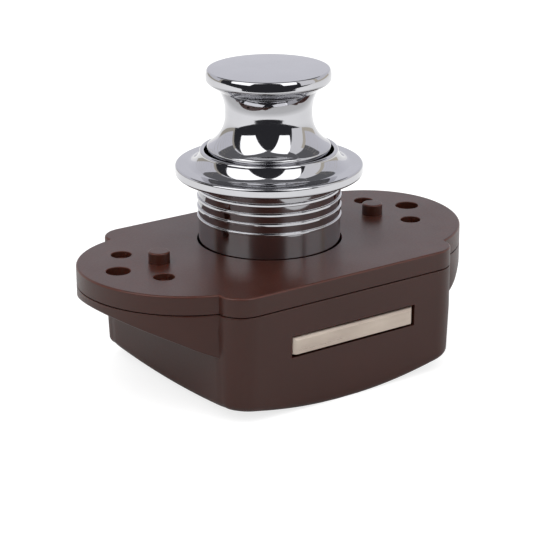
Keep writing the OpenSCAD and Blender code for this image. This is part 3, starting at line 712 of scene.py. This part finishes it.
def button_profile():
    """The knob's section as (radius, z), from the axis over the crowned disc, round its edge, down
    the two concave sweeps and the skirt, and back up inside over the stem's seat."""
    edge, edge_top, barrel, low = disc_t / 2, 0.35, 2.2, button_top - disc_t
    lean = math.radians(25)
    inner_r = disc_r - barrel + (barrel - edge_top) * math.cos(lean)
    dome_r = (disc_r - 0.5) ** 2 / (2 * dome)
    r = np.linspace(0, inner_r - 0.05, 12)
    line = [np.stack([r, button_top + dome - r ** 2 / (2 * dome_r)], 1)]
    line.append(arc(inner_r, button_top - edge_top, edge_top, 85, 30, 8))
    barrel_z = button_top - edge_top - (barrel - edge_top) * math.sin(lean)
    line.append(arc(disc_r - barrel, barrel_z, barrel, 25, 0, 10))
    line.append(arc(disc_r - edge, low, edge, 0, -62, 10))
    line.append(arc(waist_r + sweep_top_r, waist_z + 0.3, sweep_top_r, 147, 180, 20))
    low_x = waist_r + sweep_low_r
    low_end = 360 - math.degrees(math.acos((skirt_r - skirt_round - low_x) / sweep_low_r))
    line.append(arc(low_x, waist_z - 0.4, sweep_low_r, 180, low_end, 30))
    line.append(arc(skirt_r - skirt_round, skirt_top - skirt_round, skirt_round, 50, 0, 6))
    skirt_z = skirt_top - skirt_l
    inner = skirt_r - skirt_wall
    line.append(np.array([[skirt_r, skirt_z + 0.1], [skirt_r - 0.1, skirt_z], [inner, skirt_z],
                          [inner, skirt_top - 1], [stem_r + 0.3, skirt_top + 2], [stem_r + 0.3, stem_top],
                          [screw_r + 0.02, stem_top], [screw_r + 0.02, stem_top + 6], [0, stem_top + 6]]))
    return np.vstack(line)


button = turned("button_chromed", button_profile(), 192, closed=False)
button.data.materials.append(chrome)
smooth(button, 50)
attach(button, "button")
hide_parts("button")

# Bolt. A flat nickel-plated bar, bevelled along its nose and cut off at its corners, its face
# brushed lengthwise. Two rivets hold it in the carrier.
nickel, shader = material("brushed_nickel", Metallic=1.0)
tree = nickel.node_tree
streak = pattern(tree, 900, stretch=(0.06, 1, 1), detail=5)
wear = pattern(tree, 260, stretch=(0.25, 1, 1), detail=4)
tint = blend(tree, between(tree, wear, 0, 1), (0.55, 0.46, 0.395), (0.72, 0.625, 0.535))
tree.links.new(tint, shader.inputs["Base Color"])
tree.links.new(maths(tree, "ADD", between(tree, streak, 0.24, 0.40), between(tree, wear, -0.03, 0.05)),
               shader.inputs["Roughness"])
relief(tree, shader, streak, 0.00001, 0.5)

bolt = copy_of("bolt", "bolt_nickel_bar")
shape = bmesh.new()
shape.from_mesh(bolt.data)
bmesh.ops.dissolve_limit(shape, angle_limit=math.radians(1), verts=shape.verts, edges=shape.edges)
shape.to_mesh(bolt.data)
shape.free()
rounding = bolt.modifiers.new("rounding", "BEVEL")
rounding.width, rounding.segments = 0.00009, 2
rounding.limit_method, rounding.angle_limit = "ANGLE", math.radians(30)
bolt.data.materials.clear()
bolt.data.materials.append(nickel)
smooth(bolt, 25)
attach(bolt, "slider")
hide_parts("bolt")


# Plunger and bolt carrier. Mouldings in natural acetal, slippery and slightly waxy, that run in
# each other and in the sleeve without grease.
def dress(look, *nodes):
    """Gives CAD nodes that keep their own shape a new finish."""
    for node in nodes:
        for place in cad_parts[node].material_slots:
            place.material = look


acetal, shader = material("natural_acetal", IOR=1.48, Subsurface_Weight=0.15, Subsurface_Scale=0.001)
tree = acetal.node_tree
cloud = pattern(tree, 120)
tint = blend(tree, between(tree, cloud, 0, 1), (0.78, 0.76, 0.68), (0.84, 0.82, 0.75))
tree.links.new(tint, shader.inputs["Base Color"])
tree.links.new(between(tree, cloud, 0.38, 0.5), shader.inputs["Roughness"])
relief(tree, shader, pattern(tree, 3000), 0.000005, 0.4)
dress(acetal, "plunger", "bolt_carrier")

# Springs, clip and follower. Drawn spring steel: the coil that lifts the button, the ring that
# locks the sleeve, the leaf and the bent wire that latch the button down.
spring_steel, shader = material("spring_steel", Metallic=1.0)
tree = spring_steel.node_tree
drawn_lines = pattern(tree, 1400, stretch=(1, 1, 0.15))
tint = blend(tree, between(tree, drawn_lines, 0, 1), (0.30, 0.30, 0.31), (0.42, 0.41, 0.41))
tree.links.new(tint, shader.inputs["Base Color"])
tree.links.new(between(tree, drawn_lines, 0.22, 0.38), shader.inputs["Roughness"])
dress(spring_steel, "return_spring", "sleeve_clip", "follower", "follower_spring")

# Screw, washer, rivets and pins. Small steel parts with a bright zinc plate that is slightly
# blue and patchy.
zinc, shader = material("zinc_plate", Metallic=1.0)
tree = zinc.node_tree
patches = pattern(tree, 700, detail=4)
tint = blend(tree, between(tree, patches, 0, 1), (0.48, 0.50, 0.53), (0.60, 0.61, 0.62))
tree.links.new(tint, shader.inputs["Base Color"])
tree.links.new(between(tree, patches, 0.28, 0.45), shader.inputs["Roughness"])
relief(tree, shader, pattern(tree, 4000), 0.000004, 0.4)
dress(zinc, "button_screw", "screw_washer", "bolt_rivet_left", "bolt_rivet_right",
      "drive_pin_left", "drive_pin_right")
